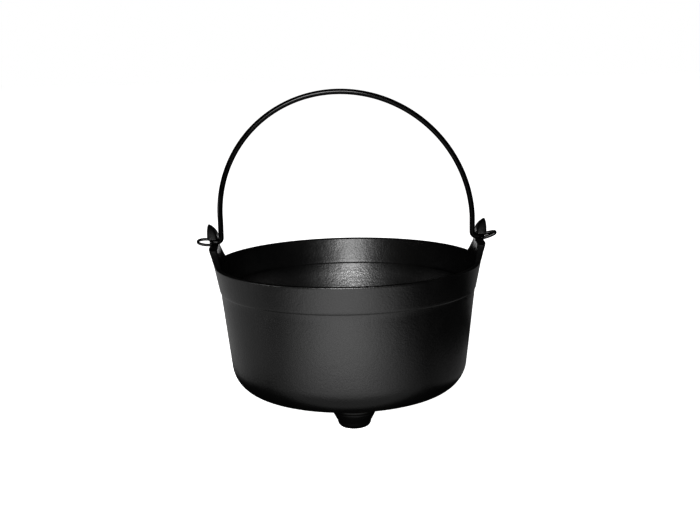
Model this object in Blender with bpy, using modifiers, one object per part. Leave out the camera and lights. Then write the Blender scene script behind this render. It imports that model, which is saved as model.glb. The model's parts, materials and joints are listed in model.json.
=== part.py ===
"""A three-footed cauldron with two upright ears and a wire bail.

Everything is in metres, +Z up. The origin is the middle of the plane that the feet
stand on, and the ears stand at +X and -X. The casting is split into its wall, ears and
feet, with a hairline gap between them, so that each is a solid of its own.
"""
import math

import bmesh
import bpy

# Casting
RIM_RADIUS = 0.150
RIM_HEIGHT = 0.146
RIM_CROWN = 0.0022
WALL = 0.0055
BAND_HEIGHT = 0.0293
BAND_FLARE = 0.0058
STEP_DEPTH = 0.0010
WALL_FOOT_RADIUS = 0.1337
CORNER_RADIUS = 0.0335
FOOT_HEIGHT = 0.020
GAP = 0.0003
TURN_STEPS = 80
CORNER_STEPS = 8
CROWN_STEPS = 6

# Feet
FOOT_COUNT = 3
FOOT_CIRCLE = 0.086
FOOT_TURN = math.radians(1.8)
FOOT_TOP_RADIUS = 0.0256
FOOT_END_RADIUS = 0.0182
FOOT_EDGE = 0.0068
FOOT_ROOT = 0.0030
FOOT_STEPS = 36

# Ears, with heights above the rim and distances from the pot's axis
EAR_TIP = 0.0445
EAR_HALF_WIDTH = 0.0185
EAR_ROOT_HALF_WIDTH = 0.040
EAR_TIP_HALF_WIDTH = 0.0012
EAR_LEAN = 0.0063
EAR_LEAN_HEIGHT = 0.0445
EAR_INNER_FACE = 0.145
EAR_TAPER_START = 0.030
EAR_TAPER_POWER = 1.9
EAR_TIP_FACE = 0.1538
EAR_TIP_ROUNDING = 0.0012
EAR_FLARE_POWER = 1.5
EAR_POINT_POWER = 0.50
EAR_POINT_NARROWING = 0.15
EAR_FLAT_START = 0.009
EAR_FLAT_END = 0.023
EAR_ROWS = 18
EAR_COLUMNS = 12
SLOT_RADIUS = 0.005
SLOT_REACH = 0.045
SLOT_STEPS = 12

# Bail, with heights above the hinge axis
HINGE_HEIGHT = 0.024
WIRE_RADIUS = 0.003
BAIL_RADIUS = 0.1412
BAIL_LEG = 0.0237
BAIL_LEAN = 0.050
LEG_BEND = 0.005
WIRE_END = 0.1505
EYE_START = 0.1495
EYE_OUTER_END = 0.1686
EYE_TILT_START = 0.154
EYE_POINTS = 28
EYE_TAPER = 0.25
EYE_SQUARENESS = 0.75
# Half the height of an eye's centre line, the radius of its drawn-down wire and its tilt
OPEN_EYE = (0.0037, 0.0015, math.radians(3))
PINCHED_EYE = (0.0022, 0.0016, math.radians(16))
ARCH_STEPS = 44
BEND_STEPS = 5

RIM_Z = FOOT_HEIGHT + RIM_HEIGHT
HINGE_Z = RIM_Z + HINGE_HEIGHT
BAND_Z = RIM_HEIGHT - BAND_HEIGHT
WALL_TOP_RADIUS = RIM_RADIUS - BAND_FLARE - STEP_DEPTH
DRAFT = math.atan2(WALL_TOP_RADIUS - WALL_FOOT_RADIUS, BAND_Z - CORNER_RADIUS)
CORNER_CENTRE = WALL_FOOT_RADIUS - CORNER_RADIUS / math.cos(DRAFT)


def clear_scene():
    for old in list(bpy.data.objects):
        bpy.data.objects.remove(old, do_unlink=True)


def new_collection(name, hidden=False):
    collection = bpy.data.collections.new(name)
    collection.hide_render = hidden
    bpy.context.scene.collection.children.link(collection)
    return collection


def new_material(name, colour, roughness, metallic):
    material = bpy.data.materials.new(name)
    material.use_nodes = True
    shader = material.node_tree.nodes["Principled BSDF"]
    shader.inputs["Base Color"].default_value = (*colour, 1.0)
    shader.inputs["Roughness"].default_value = roughness
    shader.inputs["Metallic"].default_value = metallic
    return material


def new_object(name, mesh, collection, material=None, location=(0, 0, 0)):
    obj = bpy.data.objects.new(name, mesh)
    obj.location = location
    collection.objects.link(obj)
    if material:
        mesh.materials.append(material)
    return obj


def smooth(mesh, angle=math.radians(35)):
    mesh.shade_smooth()
    mesh.set_sharp_from_angle(angle=angle)


def mark_cutter(obj):
    obj.hide_render = True
    obj.display_type = 'WIRE'


def add_boolean(obj, cutter, operation):
    cut = obj.modifiers.new(cutter.name, 'BOOLEAN')
    cut.operation = operation
    cut.solver = 'EXACT'
    cut.object = cutter


def turned(name, outline, steps, collection, material=None, location=(0, 0, 0)):
    """Turn an outline of (radius, height) points, which ends on the axis, about Z."""
    mesh = bpy.data.meshes.new(name)
    points = [(radius, 0.0, height) for radius, height in outline]
    edges = [(index, index + 1) for index in range(len(points) - 1)]
    mesh.from_pydata(points, edges, [])
    obj = new_object(name, mesh, collection, material, location)
    screw = obj.modifiers.new("turn", 'SCREW')
    screw.angle = math.tau
    screw.steps = steps
    screw.render_steps = steps
    screw.use_merge_vertices = True
    screw.merge_threshold = 0.00001
    screw.use_smooth_shade = True
    return obj


def wall_outline(inset):
    """The wall's side from the rim down to the axis, moved inwards by inset."""
    points = [
        (RIM_RADIUS - BAND_FLARE - inset, BAND_Z),
        (WALL_TOP_RADIUS - inset, BAND_Z - STEP_DEPTH),
    ]
    radius = CORNER_RADIUS - inset
    for step in range(CORNER_STEPS + 1):
        angle = DRAFT + (math.pi / 2 - DRAFT) * step / CORNER_STEPS
        across = CORNER_CENTRE + radius * math.cos(angle)
        points.append((across, CORNER_RADIUS - radius * math.sin(angle)))
    points.append((0.0, inset))
    return points


def rim_crown():
    """The rounded top edge of the wall, from its inner side to its outer side."""
    middle = RIM_RADIUS - WALL / 2
    points = []
    for step in range(CROWN_STEPS + 1):
        angle = math.pi * (1 - step / CROWN_STEPS)
        height = RIM_HEIGHT - RIM_CROWN * (1 - math.sin(angle))
        points.append((middle + WALL / 2 * math.cos(angle), height))
    return points


def build_pot_body(collection, material):
    outline = list(reversed(wall_outline(WALL))) + rim_crown() + wall_outline(0.0)
    return turned("pot_body", outline, TURN_STEPS, collection, material, (0, 0, FOOT_HEIGHT))


def build_pot_cutter(collection):
    """The pot as one full solid, a hairline larger, to shape what touches it."""
    outline = [(0.0, RIM_HEIGHT), (RIM_RADIUS, RIM_HEIGHT)] + wall_outline(-GAP)
    cutter = turned("pot_cutter", outline, TURN_STEPS, collection, None, (0, 0, FOOT_HEIGHT))
    mark_cutter(cutter)
    return cutter


def foot_outline():
    """A tapered stub from its top to its rounded lower end."""
    top = FOOT_HEIGHT + FOOT_ROOT
    points = [(0.0, top), (FOOT_TOP_RADIUS, top)]
    for step in range(CORNER_STEPS // 2 + 1):
        angle = math.pi / 2 * step / (CORNER_STEPS // 2)
        across = FOOT_END_RADIUS - FOOT_EDGE * (1 - math.cos(angle))
        points.append((across, FOOT_EDGE * (1 - math.sin(angle))))
    points.append((0.0, 0.0))
    return points


def build_feet(collection, material, pot_cutter):
    names = ("foot_front", "foot_rear_right", "foot_rear_left")
    for index in range(FOOT_COUNT):
        angle = FOOT_TURN - math.pi / 2 + math.tau * index / FOOT_COUNT
        place = (FOOT_CIRCLE * math.cos(angle), FOOT_CIRCLE * math.sin(angle), 0.0)
        foot = turned(names[index], foot_outline(), FOOT_STEPS, collection, material, place)
        add_boolean(foot, pot_cutter, 'DIFFERENCE')


def smooth_ramp(value, start, end):
    share = min(max((value - start) / (end - start), 0.0), 1.0)
    return share * share * (3 - 2 * share)


def ear_half_width(height):
    """Wide concave root, then sides that close to a rounded point."""
    if height <= HINGE_HEIGHT:
        flare = (1 - height / HINGE_HEIGHT) ** EAR_FLARE_POWER
        return EAR_HALF_WIDTH + (EAR_ROOT_HALF_WIDTH - EAR_HALF_WIDTH) * flare
    share = (height - HINGE_HEIGHT) / (EAR_TIP - HINGE_HEIGHT)
    closing = (1 - share) ** EAR_POINT_POWER * (1 - EAR_POINT_NARROWING * share)
    return max(EAR_HALF_WIDTH * closing, EAR_TIP_HALF_WIDTH)


def ear_faces(height):
    """The inner and outer faces' distance from the pot's axis at a height."""
    lean = 1 - (1 - min(height, EAR_LEAN_HEIGHT) / EAR_LEAN_HEIGHT) ** 2
    outer = RIM_RADIUS + EAR_LEAN * lean
    start = RIM_RADIUS - WALL
    inner = start + (EAR_INNER_FACE - start) * smooth_ramp(height, 0.0, EAR_FLAT_END)
    if height > EAR_TAPER_START:
        share = (height - EAR_TAPER_START) / (EAR_TIP - EAR_TAPER_START)
        inner = EAR_INNER_FACE + (EAR_TIP_FACE - EAR_INNER_FACE) * share ** EAR_TAPER_POWER
        outer -= EAR_TIP_ROUNDING * share ** 4
    return inner, outer


def ear_section(height):
    """One closed section, which bends with the rim at the root and is flat above."""
    half = ear_half_width(height)
    flat = smooth_ramp(height, EAR_FLAT_START, EAR_FLAT_END)
    ring = []
    for face, direction in zip(ear_faces(height), (-1, 1)):
        for step in range(EAR_COLUMNS + 1):
            along = direction * half * (2 * step / EAR_COLUMNS - 1)
            bent = math.sqrt(face * face - along * along)
            ring.append((bent + (face - bent) * flat, along, RIM_Z + height))
    return ring


def build_slot_cutter(collection):
    """A round seat on the hinge axis that opens towards the front."""
    mesh = bpy.data.meshes.new("slot_cutter")
    across = 2 * (RIM_RADIUS + SLOT_REACH)
    outline = [(-SLOT_REACH, -SLOT_RADIUS), (0.0, -SLOT_RADIUS)]
    for step in range(1, SLOT_STEPS):
        angle = -math.pi / 2 + math.pi * step / SLOT_STEPS
        outline.append((SLOT_RADIUS * math.cos(angle), SLOT_RADIUS * math.sin(angle)))
    outline += [(0.0, SLOT_RADIUS), (-SLOT_REACH, SLOT_RADIUS)]
    shape = bmesh.new()
    face = shape.faces.new([shape.verts.new((-across / 2, y, HINGE_Z + z)) for y, z in outline])
    moved = bmesh.ops.extrude_face_region(shape, geom=[face])
    corners = [item for item in moved["geom"] if isinstance(item, bmesh.types.BMVert)]
    bmesh.ops.translate(shape, verts=corners, vec=(across, 0, 0))
    bmesh.ops.recalc_face_normals(shape, faces=shape.faces)
    shape.to_mesh(mesh)
    shape.free()
    cutter = new_object("slot_cutter", mesh, collection)
    mark_cutter(cutter)
    return cutter


def build_ear(name, side, collection, material, slot_cutter):
    """Loft the ear's sections from root to tip; side is 1 at +X and -1 at -X."""
    shape = bmesh.new()
    rings = []
    for row in range(EAR_ROWS + 1):
        height = GAP + (EAR_TIP - GAP) * math.sin(math.pi / 2 * row / EAR_ROWS)
        rings.append([shape.verts.new((side * x, y, z)) for x, y, z in ear_section(height)])
    count = len(rings[0])
    for lower, upper in zip(rings, rings[1:]):
        for index in range(count):
            following = (index + 1) % count
            shape.faces.new((lower[index], lower[following], upper[following], upper[index]))
    shape.faces.new(rings[0])
    shape.faces.new(rings[-1])
    bmesh.ops.recalc_face_normals(shape, faces=shape.faces)
    mesh = bpy.data.meshes.new(name)
    shape.to_mesh(mesh)
    shape.free()
    smooth(mesh)
    ear = new_object(name, mesh, collection, material)
    add_boolean(ear, slot_cutter, 'DIFFERENCE')


def wire_mesh(name, points, radius, cyclic=False, resolution=3):
    """Sweep a round section along points and return the closed mesh."""
    curve = bpy.data.curves.new(name, 'CURVE')
    curve.dimensions = '3D'
    curve.bevel_depth = radius
    curve.bevel_resolution = resolution
    curve.use_fill_caps = not cyclic
    spline = curve.splines.new('POLY')
    spline.points.add(len(points) - 1)
    for point, place in zip(spline.points, points):
        point.co = (*place, 1.0)
    spline.use_cyclic_u = cyclic
    holder = bpy.data.objects.new(name, curve)
    bpy.context.scene.collection.objects.link(holder)
    evaluated = holder.evaluated_get(bpy.context.evaluated_depsgraph_get())
    mesh = bpy.data.meshes.new_from_object(evaluated)
    bpy.data.objects.remove(holder, do_unlink=True)
    shape = bmesh.new()
    shape.from_mesh(mesh)
    bmesh.ops.remove_doubles(shape, verts=shape.verts, dist=0.00001)
    bmesh.ops.recalc_face_normals(shape, faces=shape.faces)
    shape.to_mesh(mesh)
    shape.free()
    smooth(mesh)
    return mesh


def bail_route():
    """From the +X end: out of the ear, up the leg, over the leaning arch and down."""
    right = [(WIRE_END, 0.0, 0.0)]
    for step in range(BEND_STEPS + 1):
        angle = math.pi / 2 * step / BEND_STEPS
        across = BAIL_RADIUS + LEG_BEND * (1 - math.sin(angle))
        right.append((across, 0.0, LEG_BEND * (1 - math.cos(angle))))
    for step in range(ARCH_STEPS // 2):
        angle = math.pi * step / ARCH_STEPS
        across = BAIL_RADIUS * math.cos(angle)
        right.append((across, 0.0, BAIL_LEG + BAIL_RADIUS * math.sin(angle)))
    left = [(-x, y, z) for x, y, z in reversed(right)]
    upright = right + [(0.0, 0.0, BAIL_LEG + BAIL_RADIUS)] + left
    return [(x - BAIL_LEAN * max(z - BAIL_LEG, 0.0), y, z) for x, y, z in upright]


def eye_route(side, half_height, strand, tilt):
    """A long closed loop in the bail's plane that rises outside the ear."""
    middle = (EYE_START + EYE_OUTER_END - strand) / 2
    reach = (EYE_OUTER_END - strand - EYE_START) / 2
    points = []
    for step in range(EYE_POINTS):
        angle = math.tau * step / EYE_POINTS
        across = middle + reach * math.cos(angle)
        taper = 1 - EYE_TAPER * (across - EYE_START) / (2 * reach)
        rise = math.tan(tilt) * max(across - EYE_TILT_START, 0.0)
        bulge = math.copysign(abs(math.sin(angle)) ** EYE_SQUARENESS, math.sin(angle))
        points.append((side * across, 0.0, rise + half_height * taper * bulge))
    return points


def build_bail(collection, cutters, material):
    mesh = wire_mesh("bail_handle", bail_route(), WIRE_RADIUS)
    bail = new_object("bail_handle", mesh, collection, material, (0, 0, HINGE_Z))
    for side, name, eye in ((-1, "eye_left", OPEN_EYE), (1, "eye_right", PINCHED_EYE)):
        half_height, strand, tilt = eye
        route = eye_route(side, half_height, strand, tilt)
        loop = wire_mesh(name, route, strand, cyclic=True, resolution=2)
        cutter = new_object(name, loop, cutters, None, (0, 0, HINGE_Z))
        mark_cutter(cutter)
        add_boolean(bail, cutter, 'UNION')


def main():
    clear_scene()
    parts = new_collection("cauldron")
    cutters = new_collection("cutters", hidden=True)
    iron = new_material("cast_iron_black", (0.028, 0.028, 0.029), 0.48, 0.35)
    foot_iron = new_material("foot_iron_black", (0.020, 0.020, 0.021), 0.60, 0.30)
    wire = new_material("bail_wire_black", (0.015, 0.015, 0.016), 0.35, 0.40)
    build_pot_body(parts, iron)
    build_feet(parts, foot_iron, build_pot_cutter(cutters))
    slot_cutter = build_slot_cutter(cutters)
    build_ear("ear_right", 1, parts, iron, slot_cutter)
    build_ear("ear_left", -1, parts, iron, slot_cutter)
    build_bail(parts, cutters, wire)


main()
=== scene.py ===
"""A black cast iron cauldron with a wire bail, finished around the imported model.

Everything is in metres, in the model's own frame: +Z up, the ears at +X and -X, and the
single front foot towards -Y.
"""
import json
import math

import bmesh
import bpy
from mathutils import Matrix, Vector, noise


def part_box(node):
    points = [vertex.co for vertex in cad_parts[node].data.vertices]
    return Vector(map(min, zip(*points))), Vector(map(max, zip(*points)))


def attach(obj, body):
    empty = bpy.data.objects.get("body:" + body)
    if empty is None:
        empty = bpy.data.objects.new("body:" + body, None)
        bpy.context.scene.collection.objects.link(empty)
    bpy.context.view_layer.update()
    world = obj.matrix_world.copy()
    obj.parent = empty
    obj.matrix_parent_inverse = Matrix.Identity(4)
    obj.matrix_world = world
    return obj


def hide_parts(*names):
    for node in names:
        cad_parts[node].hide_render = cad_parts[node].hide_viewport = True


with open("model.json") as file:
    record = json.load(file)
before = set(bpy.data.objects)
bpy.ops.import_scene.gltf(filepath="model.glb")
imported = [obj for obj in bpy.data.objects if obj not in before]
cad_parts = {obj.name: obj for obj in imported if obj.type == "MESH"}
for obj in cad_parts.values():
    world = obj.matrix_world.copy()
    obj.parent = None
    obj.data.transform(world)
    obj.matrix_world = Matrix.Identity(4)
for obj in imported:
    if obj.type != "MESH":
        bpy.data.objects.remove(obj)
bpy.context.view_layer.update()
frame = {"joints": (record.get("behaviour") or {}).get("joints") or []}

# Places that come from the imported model
POT_LOW, POT_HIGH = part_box("pot_body")
UNDERSIDE_Z = POT_LOW.z
RIM_Z = POT_HIGH.z
RIM_RADIUS = POT_HIGH.x
EAR_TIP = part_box("ear_right")[1].z - RIM_Z
HINGE_Z = frame["joints"][0]["pos_m"][2]
HINGE_HEIGHT = HINGE_Z - RIM_Z
EYE_OUTER_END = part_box("bail_handle")[1].x

# Wall of the casting
WALL = 0.0055
BAND_HEIGHT = 0.0293
BAND_FLARE = 0.0058
STEP_DEPTH = 0.0010
STEP_ROUNDING = 0.0006
FLOOR_SHARES = (0.93, 0.82, 0.68, 0.5, 0.3, 0.12)
WALL_FOOT_RADIUS = 0.1337
CORNER_RADIUS = 0.0335
CROWN_DEPTH = 0.0022
CROWN_SQUARENESS = 0.55
BAND_Z = RIM_Z - UNDERSIDE_Z - BAND_HEIGHT
WALL_TOP_RADIUS = RIM_RADIUS - BAND_FLARE - STEP_DEPTH
DRAFT = math.atan2(WALL_TOP_RADIUS - WALL_FOOT_RADIUS, BAND_Z - CORNER_RADIUS)
CORNER_CENTRE = WALL_FOOT_RADIUS - CORNER_RADIUS / math.cos(DRAFT)
SHARP_ANGLE = math.radians(40)

# Ears, with heights above the rim
EAR_HALF_WIDTH = 0.0185
EAR_ROOT_HALF_WIDTH = 0.040
EAR_LEAN = 0.0063
EAR_LEAN_HEIGHT = 0.0445
EAR_INNER_FACE = 0.145
EAR_TAPER_START = 0.030
EAR_TAPER_POWER = 1.9
EAR_TIP_FACE = 0.1538
EAR_TIP_ROUNDING = 0.0012
EAR_FLARE_POWER = 1.5
EAR_POINT_POWER = 0.50
EAR_POINT_NARROWING = 0.15
EAR_FLAT_START = 0.009
EAR_FLAT_END = 0.023
EAR_BASE = 0.012
EAR_REGION = 0.052
OUTLINE_SMOOTHINGS = 3
SLOT_RADIUS = 0.005
SLOT_ROUNDING = 0.0011
SLOT_REACH = 0.045
SLOT_MOUTH = 0.0155
MOUTH_LENGTH = 0.004
MOUTH_WIDENING = 0.0016
LIP_TURN = math.radians(84)
LIP_CLEARANCE = 0.006

# Feet
FOOT_END_RADIUS = 0.0182
FOOT_TOP_RADIUS = 0.0243
FOOT_EDGE = 0.0068
FOOT_FILLET = 0.0035
FILLET_TURN = math.radians(80)
FOOT_ROOT = 0.0016

# Bail, with heights above the hinge axis
WIRE_RADIUS = 0.003
BAIL_LEG = 0.0237
BAIL_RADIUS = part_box("bail_handle")[1].z - HINGE_Z - BAIL_LEG - WIRE_RADIUS
BAIL_LEAN = 0.050
LEG_BEND = 0.005
NECK_START = 0.1488
EYE_START = 0.1495
EYE_TILT_START = 0.154
EYE_TAPER = 0.25
EYE_SQUARENESS = 0.75
EYE_FIRST_ANGLE = math.radians(112)
EYE_LAST_ANGLE = math.radians(-142)
STRAND_DEPTH = 0.0021
WIRE_END_TURNS = (math.radians(35), math.radians(68))
# Half the height of an eye's centre line, the half thickness of its strand and its tilt
OPEN_EYE = (0.0037, 0.0015, math.radians(3))
PINCHED_EYE = (0.0024, 0.0019, math.radians(16))

# How finely the surfaces are divided
EAR_COLUMNS = 96
PLAIN_COLUMNS = 116
EAR_ROWS = 24
CROWN_ROWS = 10
BAND_ROWS = 6
WALL_ROWS = 12
CORNER_ROWS = 14
OUTLINE_STEPS = 400
FOOT_SIDES = 72
FOOT_STEPS = 8
FILLET_STEPS = 6
SLOT_STEPS = 24
LIP_STEPS = 6
ARCH_STEPS = 72
LEG_STEPS = 10
BEND_STEPS = 12
NECK_STEPS = 9
EYE_STEPS = 52
WIRE_SIDES = 24


def smooth_ramp(value, start, end):
    share = min(max((value - start) / (end - start), 0.0), 1.0)
    return share * share * (3 - 2 * share)


def mix(first, second, share):
    return first + (second - first) * share


def finish_mesh(name, shape):
    bmesh.ops.recalc_face_normals(shape, faces=shape.faces)
    mesh = bpy.data.meshes.new(name)
    shape.to_mesh(mesh)
    shape.free()
    return mesh


def add_object(name, mesh):
    obj = bpy.data.objects.new(name, mesh)
    bpy.context.scene.collection.objects.link(obj)
    return obj


def join_rings(shape, first, second):
    """Close the band between two rings that have the same number of points."""
    for index in range(len(first)):
        following = (index + 1) % len(first)
        shape.faces.new((first[index], first[following], second[following], second[index]))


# ---------------------------------------------------------------- casting


def lower_side(inset):
    """Radii and heights above the underside, from the ear base line down to the axis."""
    points = []
    for step in range(BAND_ROWS + 1):
        below_rim = mix(EAR_BASE, BAND_HEIGHT - STEP_ROUNDING, step / BAND_ROWS)
        points.append((band_radius(-below_rim, inset), RIM_Z - UNDERSIDE_Z - below_rim))
    foot = RIM_RADIUS - BAND_FLARE - inset
    points.append((foot - STEP_ROUNDING * 0.35, BAND_Z - STEP_ROUNDING * 0.2))
    points.append((WALL_TOP_RADIUS - inset + STEP_ROUNDING * 0.35, BAND_Z - STEP_DEPTH * 0.8))
    points.append((WALL_TOP_RADIUS - inset - 0.0001, BAND_Z - STEP_DEPTH - STEP_ROUNDING))
    corner = CORNER_RADIUS - inset
    arc = []
    for step in range(CORNER_ROWS + 1):
        angle = DRAFT + (math.pi / 2 - DRAFT) * step / CORNER_ROWS
        arc.append((CORNER_CENTRE + corner * math.cos(angle), CORNER_RADIUS - corner * math.sin(angle)))
    top, low = points[-1], arc[0]
    for step in range(1, WALL_ROWS):
        share = step / WALL_ROWS
        points.append((mix(top[0], low[0], share), mix(top[1], low[1], share)))
    points += arc
    for share in FLOOR_SHARES:
        points.append((CORNER_CENTRE * share, inset))
    return points


def band_radius(height, inset):
    """The flared band's radius at a height above the rim, which is negative here."""
    return RIM_RADIUS + BAND_FLARE * height / BAND_HEIGHT - inset


def ear_half_width(height):
    if height <= HINGE_HEIGHT:
        flare = (1 - height / HINGE_HEIGHT) ** EAR_FLARE_POWER
        return EAR_HALF_WIDTH + (EAR_ROOT_HALF_WIDTH - EAR_HALF_WIDTH) * flare
    share = (height - HINGE_HEIGHT) / (EAR_TIP - HINGE_HEIGHT)
    return EAR_HALF_WIDTH * (1 - share) ** EAR_POINT_POWER * (1 - EAR_POINT_NARROWING * share)


def face_distance(height, outer):
    """The inner or outer face's distance from the pot's axis, at the ear's middle."""
    if height <= 0:
        return band_radius(height, 0 if outer else WALL)
    taper = max((height - EAR_TAPER_START) / (EAR_TIP - EAR_TAPER_START), 0.0)
    if outer:
        lean = 1 - (1 - min(height, EAR_LEAN_HEIGHT) / EAR_LEAN_HEIGHT) ** 2
        return RIM_RADIUS + EAR_LEAN * lean - EAR_TIP_ROUNDING * taper ** 4
    start = RIM_RADIUS - WALL
    inner = start + (EAR_INNER_FACE - start) * smooth_ramp(height, 0.0, EAR_FLAT_END)
    return inner + (EAR_TIP_FACE - EAR_INNER_FACE) * taper ** EAR_TAPER_POWER


def face_point(along, height, outer):
    """Where a face stands: along is measured sideways from the ear's middle plane."""
    face = face_distance(height, outer)
    bent = math.sqrt(max(face * face - along * along, 0.0))
    return mix(bent, face, smooth_ramp(height, EAR_FLAT_START, EAR_FLAT_END))


def ear_outline():
    """Evenly spaced (along, height) points over one ear, from its front root to its back."""
    rise = [EAR_TIP * (1 - (1 - step / OUTLINE_STEPS) ** 2) for step in range(OUTLINE_STEPS + 1)]
    half = [(ear_half_width(height), height) for height in rise]
    dense = [(-EAR_REGION, 0.0)] + [(-a, h) for a, h in half]
    dense += [(a, h) for a, h in reversed(half[:-1])] + [(EAR_REGION, 0.0)]
    lengths = [0.0]
    for first, second in zip(dense, dense[1:]):
        lengths.append(lengths[-1] + math.dist(first, second))
    points = []
    index = 0
    for step in range(EAR_COLUMNS + 1):
        wanted = lengths[-1] * step / EAR_COLUMNS
        while index < len(lengths) - 2 and lengths[index + 1] < wanted:
            index += 1
        share = (wanted - lengths[index]) / (lengths[index + 1] - lengths[index])
        points.append(tuple(mix(a, b, share) for a, b in zip(dense[index], dense[index + 1])))
    for _ in range(OUTLINE_SMOOTHINGS):
        inner = [tuple((a + 2 * b + c) / 4 for a, b, c in zip(*three))
                 for three in zip(points, points[1:], points[2:])]
        points = [points[0]] + inner + [points[-1]]
    return points


def ear_columns(side):
    """Grid columns over one ear: base angle, outline point, outward direction and side."""
    outline = ear_outline()
    columns = []
    for index, (along, height) in enumerate(outline):
        before = outline[max(index - 1, 0)]
        after = outline[min(index + 1, EAR_COLUMNS)]
        run, rise = after[0] - before[0], after[1] - before[1]
        length = math.hypot(run, rise)
        base = mix(-EAR_REGION, EAR_REGION, index / EAR_COLUMNS)
        angle = math.asin(base / RIM_RADIUS)
        if side < 0:
            angle = math.pi - angle
        columns.append((angle, along, height, (-rise / length, run / length), side))
    return columns if side > 0 else columns[::-1]


def casting_columns():
    """All columns in turning order: right ear, back of the pot, left ear, front."""
    edge = math.asin(EAR_REGION / RIM_RADIUS)
    columns = ear_columns(1)
    for side in (1, -1):
        start, end = (edge, math.pi - edge) if side > 0 else (math.pi + edge, math.tau - edge)
        for step in range(1, PLAIN_COLUMNS):
            columns.append((mix(start, end, step / PLAIN_COLUMNS), 0.0, 0.0, (0.0, 1.0), 0))
        if side > 0:
            columns += ear_columns(-1)
    return columns


def upper_point(column, along, height, outer, base_share):
    """A point between the ear base line and the crown, on the inner or outer face."""
    angle, _, _, _, side = column
    if side == 0:
        radius = band_radius(height, 0 if outer else WALL)
        return radius * math.cos(angle), radius * math.sin(angle)
    start = band_radius(-EAR_BASE, 0 if outer else WALL) * math.sin(angle)
    sideways = mix(start, along, base_share)
    return side * face_point(sideways, height, outer), sideways


def column_points(column):
    """One closed path from the inside floor, over the rim or ear, to the underside."""
    angle, along, height, outward, side = column
    cosine, sine = math.cos(angle), math.sin(angle)
    inner = [(r * cosine, r * sine, z + UNDERSIDE_Z) for r, z in lower_side(WALL)]
    outer = [(r * cosine, r * sine, z + UNDERSIDE_Z) for r, z in lower_side(0.0)]
    edge_along = along - outward[0] * CROWN_DEPTH
    edge_height = height - outward[1] * CROWN_DEPTH
    faces = {}
    for is_outer in (False, True):
        faces[is_outer] = []
        for row in range(1, EAR_ROWS + 1):
            share = row / EAR_ROWS
            up = mix(-EAR_BASE, edge_height, share)
            x, y = upper_point(column, edge_along, up, is_outer, share)
            faces[is_outer].append((x, y, RIM_Z + up))
    crown = []
    for row in range(1, CROWN_ROWS):
        turn = math.pi * row / CROWN_ROWS
        depth = CROWN_DEPTH * (1 - math.sin(turn) ** CROWN_SQUARENESS)
        across = math.copysign(abs(math.cos(turn)) ** CROWN_SQUARENESS, -math.cos(turn))
        up = height - outward[1] * depth
        aside = along - outward[0] * depth
        ends = [upper_point(column, aside, up, is_outer, 1.0) for is_outer in (False, True)]
        x, y = (mix(a, b, 0.5 + 0.5 * across) for a, b in zip(*ends))
        crown.append((x, y, RIM_Z + up))
    return inner[::-1] + faces[False] + crown + faces[True][::-1] + outer


def cast_texture(point):
    """The slight waviness of a sand casting, which only ever takes metal away."""
    broad = noise.noise(point * 28.0)
    fine = noise.noise(point * 95.0 + Vector((7.0, 3.0, 1.0)))
    return -0.00005 * (1 + broad) - 0.00003 * (1 + fine)


def build_wall():
    shape = bmesh.new()
    rings = []
    for column in casting_columns():
        ring = []
        for place in column_points(column):
            point = Vector(place)
            radial = Vector((point.x, point.y, 0.0)).normalized()
            ring.append(shape.verts.new(point + radial * cast_texture(point)))
        rings.append(ring)
    floor = shape.verts.new((0.0, 0.0, UNDERSIDE_Z + WALL))
    under = shape.verts.new((0.0, 0.0, UNDERSIDE_Z))
    for ring, following in zip(rings, rings[1:] + rings[:1]):
        shape.faces.new((floor, following[0], ring[0]))
        for row in range(len(ring) - 1):
            shape.faces.new((ring[row], following[row], following[row + 1], ring[row + 1]))
        shape.faces.new((under, ring[-1], following[-1]))
    return add_object("cauldron_casting", finish_mesh("cauldron_casting", shape))


def foot_profile():
    """Radii and heights of a stub foot, from its flat end up into the pot's floor."""
    points = []
    for step in range(FOOT_STEPS + 1):
        angle = math.pi / 2 * (1 - step / FOOT_STEPS)
        points.append((FOOT_END_RADIUS - FOOT_EDGE * (1 - math.cos(angle)),
                       FOOT_EDGE * (1 - math.sin(angle))))
    shoulder = UNDERSIDE_Z - FOOT_FILLET
    shoulder_radius = mix(FOOT_END_RADIUS, FOOT_TOP_RADIUS, shoulder / UNDERSIDE_Z)
    for step in range(1, FOOT_STEPS):
        share = step / FOOT_STEPS
        points.append((mix(FOOT_END_RADIUS, shoulder_radius, share), mix(FOOT_EDGE, shoulder, share)))
    for step in range(FILLET_STEPS + 1):
        angle = FILLET_TURN * step / FILLET_STEPS
        points.append((shoulder_radius + FOOT_FILLET * (1 - math.cos(angle)),
                       shoulder + FOOT_FILLET * math.sin(angle)))
    points.append((points[-1][0] + 0.0006, UNDERSIDE_Z + FOOT_ROOT))
    return points


def add_foot(shape, centre):
    rings = []
    for radius, height in foot_profile():
        ring = []
        for step in range(FOOT_SIDES):
            angle = math.tau * step / FOOT_SIDES
            cosine, sine = math.cos(angle), math.sin(angle)
            point = Vector((centre.x + radius * cosine, centre.y + radius * sine, height))
            outward = Vector((cosine, sine, 0.0))
            ring.append(shape.verts.new(point + outward * 2 * cast_texture(point)))
        rings.append(ring)
    for lower, upper in zip(rings, rings[1:]):
        join_rings(shape, lower, upper)
    shape.faces.new(rings[0][::-1])
    shape.faces.new(rings[-1])


def build_feet():
    shape = bmesh.new()
    for name in ("foot_front", "foot_rear_left", "foot_rear_right"):
        low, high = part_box(name)
        add_foot(shape, (low + high) / 2)
    return add_object("feet", finish_mesh("feet", shape))


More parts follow.
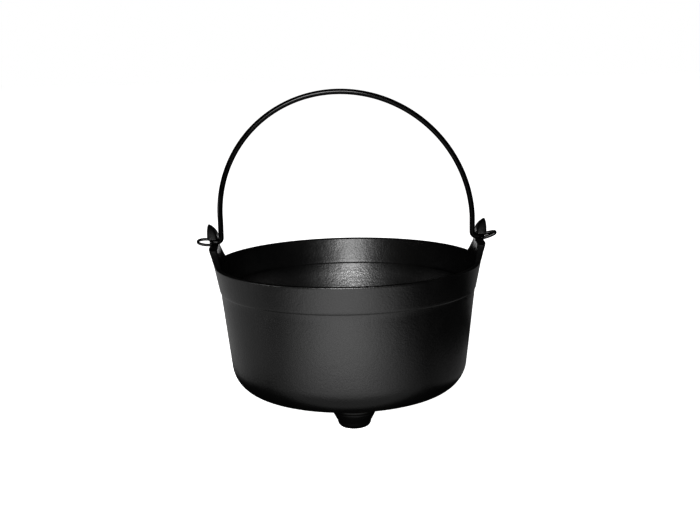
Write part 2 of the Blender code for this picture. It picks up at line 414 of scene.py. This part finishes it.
def slot_section(grown):
    """The slot's outline in (y, z) about the hinge axis, made larger by grown.

    It widens at its mouth, so that the cut's edges there are eased.
    """
    half = SLOT_RADIUS + grown
    points = [(-SLOT_REACH, -half - MOUTH_LENGTH), (-SLOT_MOUTH - MOUTH_LENGTH, -half - MOUTH_WIDENING)]
    points.append((-SLOT_MOUTH, -half))
    for step in range(SLOT_STEPS + 1):
        angle = -math.pi / 2 + math.pi * step / SLOT_STEPS
        points.append((half * math.cos(angle), half * math.sin(angle)))
    return points + [(y, -z) for y, z in reversed(points[:3])]


def build_slot_cutters():
    """Slots with rounded lips, through both ears."""
    shape = bmesh.new()
    inner = EAR_INNER_FACE
    outer = face_distance(HINGE_HEIGHT, True)
    lips = []
    for step in range(LIP_STEPS + 1):
        turn = LIP_TURN * step / LIP_STEPS
        lips.append((SLOT_ROUNDING * (1 - math.sin(turn)), SLOT_ROUNDING * (1 - math.cos(turn))))
    stations = [(inner - LIP_CLEARANCE, SLOT_ROUNDING)]
    stations += [(inner + depth, grown) for depth, grown in reversed(lips)]
    stations += [(outer - depth, grown) for depth, grown in lips]
    stations.append((outer + LIP_CLEARANCE, SLOT_ROUNDING))
    for side in (1, -1):
        rings = []
        for x, grown in stations:
            rings.append([shape.verts.new((side * x, y, HINGE_Z + z)) for y, z in slot_section(grown)])
        for first, second in zip(rings, rings[1:]):
            join_rings(shape, first, second)
        shape.faces.new(rings[0])
        shape.faces.new(rings[-1])
    return add_object("slots", finish_mesh("slots", shape))


def build_casting(material):
    """The wall, ears and feet as the one casting that they really are."""
    casting = build_wall()
    tools = ((build_feet(), 'UNION'), (build_slot_cutters(), 'DIFFERENCE'))
    for tool, operation in tools:
        cut = casting.modifiers.new(tool.name, 'BOOLEAN')
        cut.operation = operation
        cut.object = tool
    evaluated = casting.evaluated_get(bpy.context.evaluated_depsgraph_get())
    mesh = bpy.data.meshes.new_from_object(evaluated)
    casting.modifiers.clear()
    casting.data = mesh
    for tool, _ in tools:
        bpy.data.objects.remove(tool, do_unlink=True)
    mesh.materials.clear()
    mesh.materials.append(material)
    mesh.shade_smooth()
    mesh.set_sharp_from_angle(angle=SHARP_ANGLE)
    return casting


# ------------------------------------------------------------------- bail


def eye_route(half_height, strand, tilt):
    """The (x, z) route of an eye's strand, over its top, round its tip and back below."""
    tip = EYE_OUTER_END - strand
    middle, reach = (EYE_START + tip) / 2, (tip - EYE_START) / 2
    route = []
    for step in range(EYE_STEPS + 1):
        angle = mix(EYE_FIRST_ANGLE, EYE_LAST_ANGLE, step / EYE_STEPS)
        across = middle + reach * math.cos(angle)
        taper = 1 - EYE_TAPER * (across - EYE_START) / (2 * reach)
        bulge = math.copysign(abs(math.sin(angle)) ** EYE_SQUARENESS, math.sin(angle))
        rise = math.tan(tilt) * max(across - EYE_TILT_START, 0.0)
        route.append((across, rise + half_height * taper * bulge))
    return route


def half_bail(half_height, strand, tilt, lean):
    """From the top of the arch to the end of one eye: x, z, half thickness, half depth."""
    route = []
    for step in range(ARCH_STEPS + 1):
        angle = math.pi / 2 * (1 - step / ARCH_STEPS)
        route.append((BAIL_RADIUS * math.cos(angle), BAIL_LEG + BAIL_RADIUS * math.sin(angle)))
    for step in range(1, LEG_STEPS):
        route.append((BAIL_RADIUS, mix(BAIL_LEG, LEG_BEND, step / LEG_STEPS)))
    for step in range(BEND_STEPS + 1):
        angle = math.pi / 2 * step / BEND_STEPS
        route.append((BAIL_RADIUS + LEG_BEND * (1 - math.cos(angle)), LEG_BEND * (1 - math.sin(angle))))
    route.append((NECK_START - 0.001, 0.0))
    stations = [(x + lean * max(z - BAIL_LEG, 0.0), z, WIRE_RADIUS, WIRE_RADIUS) for x, z in route]
    eye = eye_route(half_height, strand, tilt)
    eye_x, eye_z = eye[0]
    for step in range(NECK_STEPS):
        share = step / NECK_STEPS
        eased = smooth_ramp(share, 0.0, 1.0)
        thick, deep = mix(WIRE_RADIUS, strand, eased), mix(WIRE_RADIUS, STRAND_DEPTH, eased)
        stations.append((mix(NECK_START, eye_x, share), eye_z * eased, thick, deep))
    stations += [(x, z, strand, STRAND_DEPTH) for x, z in eye]
    return stations


def build_bail(material):
    right = half_bail(*PINCHED_EYE, -BAIL_LEAN)
    left = [(-x, z, thick, deep) for x, z, thick, deep in half_bail(*OPEN_EYE, BAIL_LEAN)]
    stations = left[::-1] + right[1:]
    shape = bmesh.new()
    rings = []
    for index, (x, z, thick, deep) in enumerate(stations):
        before = stations[max(index - 1, 0)]
        after = stations[min(index + 1, len(stations) - 1)]
        along = Vector((after[0] - before[0], 0.0, after[1] - before[1])).normalized()
        across = Vector((-along.z, 0.0, along.x))
        ring = []
        for step in range(WIRE_SIDES):
            angle = math.tau * step / WIRE_SIDES
            offset = across * thick * math.cos(angle) + Vector((0.0, deep * math.sin(angle), 0.0))
            ring.append(shape.verts.new(Vector((x, 0.0, HINGE_Z + z)) + offset))
        rings.append(ring)
    for first, second in zip(rings, rings[1:]):
        join_rings(shape, first, second)
    for ring, inward in ((rings[0], rings[1]), (rings[-1], rings[-2])):
        close_end(shape, ring, inward)
    mesh = finish_mesh("wire_bail", shape)
    mesh.materials.append(material)
    mesh.shade_smooth()
    return add_object("wire_bail", mesh)


def close_end(shape, ring, inward):
    """Round off a wire's end with two smaller rings and a cap."""
    centre = sum((vert.co for vert in ring), Vector()) / len(ring)
    behind = sum((vert.co for vert in inward), Vector()) / len(inward)
    out = (centre - behind).normalized()
    size = (ring[0].co - centre).length
    previous = ring
    for angle in WIRE_END_TURNS:
        shrink, push = math.cos(angle), out * size * math.sin(angle)
        smaller = [shape.verts.new(centre + (vert.co - centre) * shrink + push) for vert in ring]
        join_rings(shape, previous, smaller)
        previous = smaller
    shape.faces.new(previous)


# -------------------------------------------------------------- materials

OIL_LINE = 0.1285
PLAIN_SHEEN = 0.5
DRY_SHEEN = 0.26
OILED_SHEEN = 0.90
OIL_FADE = 0.007
INSIDE_BLEND = 0.04


def add_node(tree, kind, inputs=None, **settings):
    node = tree.nodes.new(kind)
    for name, value in settings.items():
        setattr(node, name, value)
    for name, value in (inputs or {}).items():
        if isinstance(value, bpy.types.NodeSocket):
            tree.links.new(value, node.inputs[name])
        else:
            node.inputs[name].default_value = value
    return node


def noise_node(tree, place, scale, detail=4.0, roughness=0.55):
    return add_node(tree, "ShaderNodeTexNoise", {
        "Vector": place, "Scale": scale, "Detail": detail, "Roughness": roughness}).outputs["Fac"]


def remap(tree, value, low, high, new_low, new_high):
    return add_node(tree, "ShaderNodeMapRange", {
        "Value": value, "From Min": low, "From Max": high, "To Min": new_low, "To Max": new_high},
        interpolation_type='SMOOTHSTEP').outputs["Result"]


def blend_colour(tree, share, first, second):
    node = tree.nodes.new("ShaderNodeMix")
    node.data_type = 'RGBA'
    for socket, value in ((node.inputs[0], share), (node.inputs[6], first), (node.inputs[7], second)):
        if isinstance(value, bpy.types.NodeSocket):
            tree.links.new(value, socket)
        else:
            socket.default_value = (*value, 1.0)
    return node.outputs[2]


def bump(tree, height, strength, distance, normal=None):
    inputs = {"Height": height, "Strength": strength, "Distance": distance}
    if normal is not None:
        inputs["Normal"] = normal
    return add_node(tree, "ShaderNodeBump", inputs).outputs["Normal"]


def new_material(name):
    material = bpy.data.materials.new(name)
    material.use_nodes = True
    tree = material.node_tree
    place = add_node(tree, "ShaderNodeTexCoord").outputs["Object"]
    return material, tree, tree.nodes["Principled BSDF"], place


def oiled_inside(tree, place):
    """Sheen: plain outside, duller inside the rim band and oiled below its step."""
    geometry = add_node(tree, "ShaderNodeNewGeometry")
    facing = {0: geometry.outputs["Normal"], 1: place}
    outward = add_node(tree, "ShaderNodeVectorMath", facing, operation='DOT_PRODUCT').outputs["Value"]
    height = add_node(tree, "ShaderNodeSeparateXYZ", {"Vector": place}).outputs["Z"]
    inside = remap(tree, outward, -INSIDE_BLEND, 0.0, 1.0, 0.0)
    oiled = remap(tree, height, OIL_LINE - OIL_FADE, OIL_LINE + OIL_FADE, OILED_SHEEN, DRY_SHEEN)
    blend = add_node(tree, "ShaderNodeMix", {0: inside, 2: PLAIN_SHEEN, 3: oiled})
    return blend.outputs[0]


def cast_iron():
    """Satin black over sand-cast iron: fine grain, soft mottling, rubbed edges."""
    material, tree, shader, place = new_material("black_cast_iron")
    mottle = remap(tree, noise_node(tree, place, 22.0, 5.0, 0.6), 0.35, 0.68, 0.0, 1.0)
    grain = noise_node(tree, place, 420.0, 3.0, 0.6)
    sand = noise_node(tree, place, 1500.0, 2.0, 0.5)
    lumps = noise_node(tree, place, 120.0, 3.0, 0.5)
    pointed = add_node(tree, "ShaderNodeNewGeometry").outputs["Pointiness"]
    worn = remap(tree, pointed, 0.53, 0.62, 0.0, 0.6)
    black = blend_colour(tree, mottle, (0.0006, 0.0006, 0.00065), (0.0012, 0.00115, 0.0011))
    colour = blend_colour(tree, worn, black, (0.020, 0.0195, 0.019))
    tree.links.new(colour, shader.inputs["Base Color"])
    rough = remap(tree, mottle, 0.0, 1.0, 0.335, 0.365)
    tree.links.new(rough, shader.inputs["Roughness"])
    tree.links.new(oiled_inside(tree, place), shader.inputs["Specular IOR Level"])
    relief = bump(tree, lumps, 0.25, 0.0006)
    relief = bump(tree, grain, 0.45, 0.00045, relief)
    relief = bump(tree, sand, 0.25, 0.00015, relief)
    tree.links.new(relief, shader.inputs["Normal"])
    return material


def black_wire():
    """Smooth satin black wire with faint drawing marks and slight mottling."""
    material, tree, shader, place = new_material("black_bail_wire")
    mottle = remap(tree, noise_node(tree, place, 60.0, 4.0, 0.6), 0.35, 0.65, 0.0, 1.0)
    fine = noise_node(tree, place, 900.0, 3.0, 0.6)
    black = blend_colour(tree, mottle, (0.0006, 0.0006, 0.00065), (0.0012, 0.00115, 0.0011))
    tree.links.new(black, shader.inputs["Base Color"])
    rough = remap(tree, mottle, 0.0, 1.0, 0.11, 0.16)
    tree.links.new(rough, shader.inputs["Roughness"])
    shader.inputs["Specular IOR Level"].default_value = 0.09
    tree.links.new(bump(tree, fine, 0.1, 0.00006), shader.inputs["Normal"])
    return material


# ------------------------------------------------------------------ stage

CAMERA_AZIMUTH = math.radians(1.00)
CAMERA_ELEVATION = math.radians(10.83)
CAMERA_DISTANCE = 1.4
CAMERA_ROLL = math.radians(1.19)
CAMERA_ASIDE = 0.0029
CAMERA_HEIGHT = 0.16586
CAMERA_LENS = 63.84
SENSOR_WIDTH = 36.0
FLOOR_HALF_SIZE = 8.0
FLOOR_GLOW = 1.0
STUDIO_GLOW = 0.004
CONTRAST = 0.80
CARD_FADE = (-0.40, -0.09, 0.02, 0.33)


def build_camera():
    """A long lens, a little to the left of the front foot and above the rim."""
    back = Vector((-math.sin(CAMERA_AZIMUTH) * math.cos(CAMERA_ELEVATION),
                   -math.cos(CAMERA_AZIMUTH) * math.cos(CAMERA_ELEVATION),
                   math.sin(CAMERA_ELEVATION)))
    right = Vector((0, 0, 1)).cross(back).normalized()
    up = back.cross(right)
    target = Vector((0, 0, CAMERA_HEIGHT)) + right * CAMERA_ASIDE
    rolled_right = right * math.cos(CAMERA_ROLL) - up * math.sin(CAMERA_ROLL)
    rolled_up = right * math.sin(CAMERA_ROLL) + up * math.cos(CAMERA_ROLL)
    turn = Matrix((rolled_right, rolled_up, back)).transposed()
    camera = bpy.data.objects.new("camera", bpy.data.cameras.new("camera"))
    camera.matrix_world = Matrix.Translation(target + back * CAMERA_DISTANCE) @ turn.to_4x4()
    camera.data.lens = CAMERA_LENS
    camera.data.sensor_width = SENSOR_WIDTH
    bpy.context.scene.collection.objects.link(camera)
    bpy.context.scene.camera = camera


def build_floor():
    mesh = bpy.data.meshes.new("floor")
    half = FLOOR_HALF_SIZE
    corners = [(-half, -half, 0), (half, -half, 0), (half, half, 0), (-half, half, 0)]
    mesh.from_pydata([Vector(corner) for corner in corners], [], [(0, 1, 2, 3)])
    floor = add_object("floor", mesh)
    material, tree, shader, _ = new_material("pale_floor")
    shader.inputs["Base Color"].default_value = (0.80, 0.80, 0.80, 1)
    shader.inputs["Roughness"].default_value = 0.9
    shader.inputs["Specular IOR Level"].default_value = 0.1
    shader.inputs["Emission Color"].default_value = (1, 1, 1, 1)
    shader.inputs["Emission Strength"].default_value = FLOOR_GLOW
    mesh.materials.append(material)
    floor.visible_glossy = False
    floor.visible_diffuse = False


def build_glow_card(name, across, along, glow, fade=None, height=0.001):
    """A pale card lying on the floor, seen only by reflections; it may fade sideways."""
    mesh = bpy.data.meshes.new(name)
    (left, right), (near, far) = across, along
    corners = [(left, near, height), (right, near, height), (right, far, height), (left, far, height)]
    mesh.from_pydata([Vector(corner) for corner in corners], [], [(0, 1, 2, 3)])
    card = add_object(name, mesh)
    material, tree, shader, place = new_material(name)
    shader.inputs["Base Color"].default_value = (0, 0, 0, 1)
    shader.inputs["Specular IOR Level"].default_value = 0.0
    shader.inputs["Emission Color"].default_value = (1, 1, 1, 1)
    shader.inputs["Emission Strength"].default_value = glow
    if fade:
        sideways = add_node(tree, "ShaderNodeSeparateXYZ", {"Vector": place}).outputs["X"]
        rising = remap(tree, sideways, fade[0], fade[1], 0.0, glow)
        falling = remap(tree, sideways, fade[2], fade[3], 1.0, 0.0)
        product = add_node(tree, "ShaderNodeMath", {0: rising, 1: falling}, operation='MULTIPLY')
        tree.links.new(product.outputs["Value"], shader.inputs["Emission Strength"])
    mesh.materials.append(material)
    card.visible_camera = False
    card.visible_diffuse = False
    card.visible_shadow = False


def add_softbox(name, place, target, width, height, power):
    light = bpy.data.lights.new(name, 'AREA')
    light.shape = 'RECTANGLE'
    light.size = width
    light.size_y = height
    light.energy = power
    lamp = bpy.data.objects.new(name, light)
    lamp.location = place
    lamp.rotation_euler = (Vector(target) - Vector(place)).to_track_quat('-Z', 'Y').to_euler()
    bpy.context.scene.collection.objects.link(lamp)


def build_world():
    """White to the camera, dim to everything else, as in a dark studio."""
    world = bpy.data.worlds.new("studio")
    bpy.context.scene.world = world
    world.use_nodes = True
    tree = world.node_tree
    seen = add_node(tree, "ShaderNodeLightPath").outputs["Is Camera Ray"]
    strength = add_node(tree, "ShaderNodeMapRange", {"Value": seen, "To Min": STUDIO_GLOW, "To Max": 1.0})
    tree.nodes["Background"].inputs["Color"].default_value = (1, 1, 1, 1)
    tree.links.new(strength.outputs["Result"], tree.nodes["Background"].inputs["Strength"])


def build_stage():
    build_camera()
    build_floor()
    build_glow_card("glow_card_front", (-0.5, 0.5), (-1.2, -0.25), 3.5, CARD_FADE)
    build_glow_card("glow_card_middle", (-0.5, 0.5), (-0.25, -0.17), 1.7, CARD_FADE)
    build_glow_card("glow_card_near", (-0.2, 0.2), (-0.17, -0.12), 0.5)
    build_glow_card("glow_card_right", (0.16, 0.27), (-0.12, 0.20), 0.3)
    build_glow_card("glow_card_left", (-3.0, -0.2), (-0.17, 3.0), 0.60)
    build_glow_card("glow_card_back", (-0.2, 1.2), (0.3, 3.0), 0.35)
    build_glow_card("glow_card_far", (-0.15, 0.15), (0.7, 1.6), 2.2, height=0.002)
    add_softbox("front_softbox", (-0.17, -2.3, 1.00), (0, 0, 0.15), 0.8, 1.2, 165.0)
    add_softbox("left_softbox", (-1.3, -0.5, 0.12), (0, 0, 0.10), 0.5, 0.2, 4.0)
    build_world()
    bpy.context.scene.view_settings.view_transform = 'Standard'
    bpy.context.scene.view_settings.gamma = CONTRAST


# ------------------------------------------------------------------- main

build_stage()
casting = build_casting(cast_iron())
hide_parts("pot_body", "ear_left", "ear_right", "foot_front", "foot_rear_left", "foot_rear_right")
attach(casting, "pot")
bail = build_bail(black_wire())
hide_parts("bail_handle")
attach(bail, "bail")
